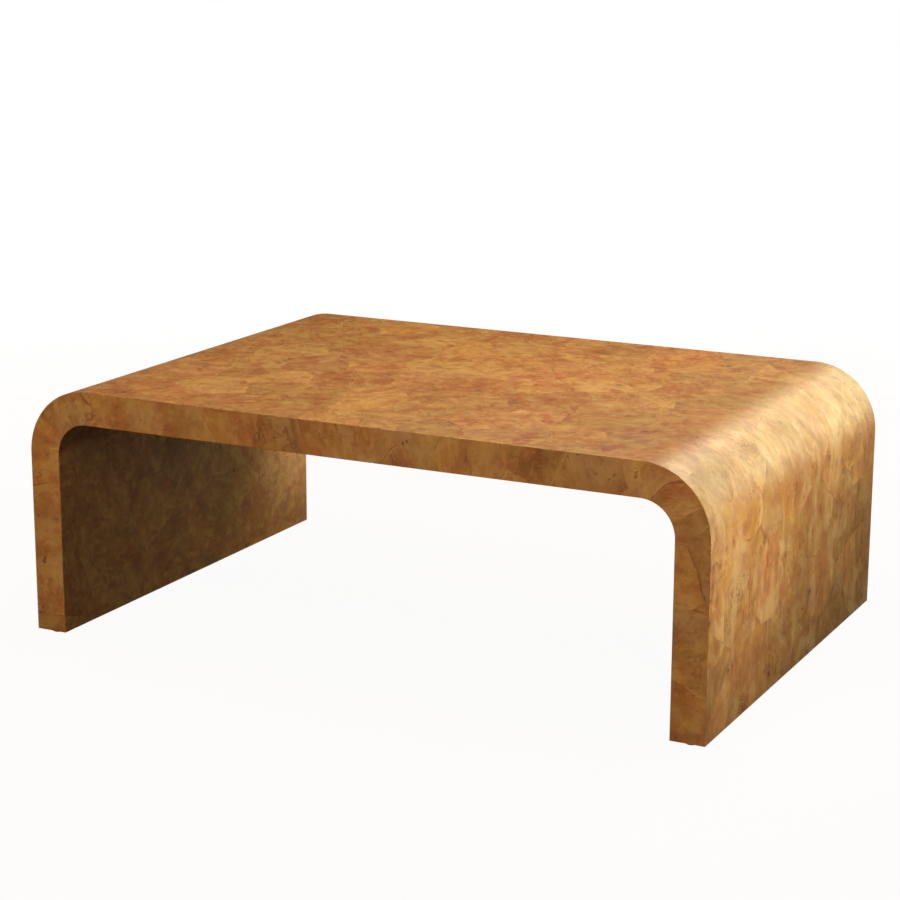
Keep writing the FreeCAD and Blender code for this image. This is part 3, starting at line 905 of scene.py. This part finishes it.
class TABLE_OT_stage(bpy.types.Operator):
    """Set the floor, the lamps and the camera"""

    bl_idname = "table.stage"
    bl_label = "Studio"

    def seen(self, tree, plain, other):
        """How bright the surroundings are: plain to the camera and through glass, the look's
        share in gloss, and other to the rest."""
        mirrored = bpy.context.scene.studio_look.mirrored
        camera = add(tree, "ShaderNodeLightPath", None, "Is Camera Ray")
        glass = add(tree, "ShaderNodeLightPath", None, "Is Transmission Ray")
        gloss = add(tree, "ShaderNodeLightPath", None, "Is Glossy Ray")
        direct = add(tree, "ShaderNodeMath", {0: camera, 1: glass}, operation="MAXIMUM")
        gloss = add(
            tree, "ShaderNodeMath", {0: gloss, 1: mirrored - other, 2: other},
            operation="MULTIPLY_ADD",
        )
        return add(tree, "ShaderNodeMix", {0: direct, 2: gloss, 3: plain}, data_type="FLOAT")

    def lay_floor(self, studio):
        """A dark bounce for the table to stand on, which the camera sees as white paper."""
        bpy.ops.object.select_all(action="DESELECT")
        bpy.ops.mesh.primitive_plane_add(size=FLOOR_SIZE, location=(0, 0, 0))
        floor = bpy.context.object
        floor.name = "floor"
        material, tree = start_material("paper floor, white to the camera")
        place = add(tree, "ShaderNodeTexCoord", None, "Object")
        away = add(tree, "ShaderNodeVectorMath", {0: place}, "Value", operation="LENGTH")
        white = add(tree, "ShaderNodeMapRange", {
            0: away, 1: PAPER_NEAR, 2: PAPER_FAR, 3: WHITE_NEAR, 4: WHITE_FAR,
        })
        glow = add(tree, "ShaderNodeEmission", {"Strength": self.seen(tree, white, 0.0)})
        paper = add(tree, "ShaderNodeBsdfDiffuse", {"Color": rgba(studio.floor)})
        both = add(tree, "ShaderNodeAddShader", {0: glow, 1: paper})
        add(tree, "ShaderNodeOutputMaterial", {"Surface": both})
        floor.data.materials.append(material)

    def whiten_world(self, scene):
        """White all round for the camera, and next to no light from it."""
        scene.world = scene.world or bpy.data.worlds.new("studio")
        scene.world.use_nodes = True
        tree = scene.world.node_tree
        tree.nodes.clear()
        back = add(tree, "ShaderNodeBackground", {
            "Color": (1, 1, 1, 1), "Strength": self.seen(tree, 1.0, ROOM_LIGHT),
        })
        add(tree, "ShaderNodeOutputWorld", {"Surface": back})

    def hang_lamp(self, studio, lamp, place, aim, watts, colour):
        """Hang one lamp, aim it and set its light. Gives the object that holds it."""
        lamp.energy = watts * studio.level
        lamp.color = getattr(studio, colour)
        holder = bpy.data.objects.new(lamp.name, lamp)
        bpy.context.scene.collection.objects.link(holder)
        holder.location = place
        ahead = Vector(aim) - Vector(place)
        holder.rotation_euler = ahead.to_track_quat("-Z", "Y").to_euler()
        return holder

    def hang_lamps(self, studio):
        """All the area lamps, and the one beam."""
        for name, place, aim, size, watts, colour in AREA_LAMPS:
            lamp = bpy.data.lights.new(name, "AREA")
            lamp.shape = "SQUARE"
            lamp.size = size
            holder = self.hang_lamp(studio, lamp, place, aim, watts, colour)
            holder.visible_camera = False
            holder.visible_glossy = name != NOT_MIRRORED
        beam = bpy.data.lights.new("inner leg lamp", "SPOT")
        beam.spot_size = BEAM_SPREAD
        beam.spot_blend = 1
        beam.shadow_soft_size = BEAM_RADIUS
        self.hang_lamp(studio, beam, BEAM_PLACE, BEAM_AIM, BEAM_WATTS, "front_lamps")

    def place_camera(self, studio, scene):
        """Stand the camera where the outline in the photo puts it."""
        ahead = Vector((
            -math.sin(YAW) * math.cos(PITCH), math.cos(YAW) * math.cos(PITCH), -math.sin(PITCH)
        ))
        level_right = Vector((math.cos(YAW), math.sin(YAW), 0))
        level_up = level_right.cross(ahead)
        right = math.cos(ROLL) * level_right + math.sin(ROLL) * level_up
        up = math.cos(ROLL) * level_up - math.sin(ROLL) * level_right
        camera = bpy.data.cameras.new("camera")
        camera.lens = studio.lens
        camera.sensor_width = SENSOR_WIDTH
        holder = bpy.data.objects.new("camera", camera)
        scene.collection.objects.link(holder)
        turn = Matrix((right, up, -ahead)).transposed()
        holder.matrix_world = Matrix.Translation(EYE) @ turn.to_4x4()
        scene.camera = holder

    def execute(self, context):
        studio = context.scene.studio_look
        self.lay_floor(studio)
        self.whiten_world(context.scene)
        self.hang_lamps(studio)
        self.place_camera(studio, context.scene)
        context.scene.view_settings.view_transform = "Standard"
        return {"FINISHED"}


class TABLE_PT_panel(bpy.types.Panel):
    """Sizes, looks and steps of the table"""

    bl_idname = "TABLE_PT_panel"
    bl_label = "Waterfall table"
    bl_space_type = "VIEW_3D"
    bl_region_type = "UI"
    bl_category = "Table"

    def draw(self, context):
        for group in GROUPS:
            box = self.layout.box()
            for name in GROUPS[group].__annotations__:
                box.prop(getattr(context.scene, group), name)
        for step in STEPS:
            self.layout.operator(step.bl_idname)


GROUPS = {
    "table_sizes": TableSizes,
    "glide_sizes": GlideSizes,
    "veneer_look": VeneerLook,
    "studio_look": StudioLook,
}
STEPS = [
    TABLE_OT_outer_veneer,
    TABLE_OT_inner_veneer,
    TABLE_OT_edge_veneer,
    TABLE_OT_glide_pads,
    TABLE_OT_skins,
    TABLE_OT_frame,
    TABLE_OT_tenons,
    TABLE_OT_inserts,
    TABLE_OT_studs,
    TABLE_OT_stage,
]


def register():
    for item in [*GROUPS.values(), *STEPS, TABLE_PT_panel]:
        bpy.utils.register_class(item)
    for name, group in GROUPS.items():
        setattr(bpy.types.Scene, name, bpy.props.PointerProperty(type=group))


def unregister():
    for name in GROUPS:
        delattr(bpy.types.Scene, name)
    for item in [TABLE_PT_panel, *reversed(STEPS), *reversed(GROUPS.values())]:
        bpy.utils.unregister_class(item)


def main():
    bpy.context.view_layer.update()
    register()
    for step in STEPS:
        area, name = step.bl_idname.split(".")
        getattr(getattr(bpy.ops, area), name)()


if __name__ == "__main__":
    main()
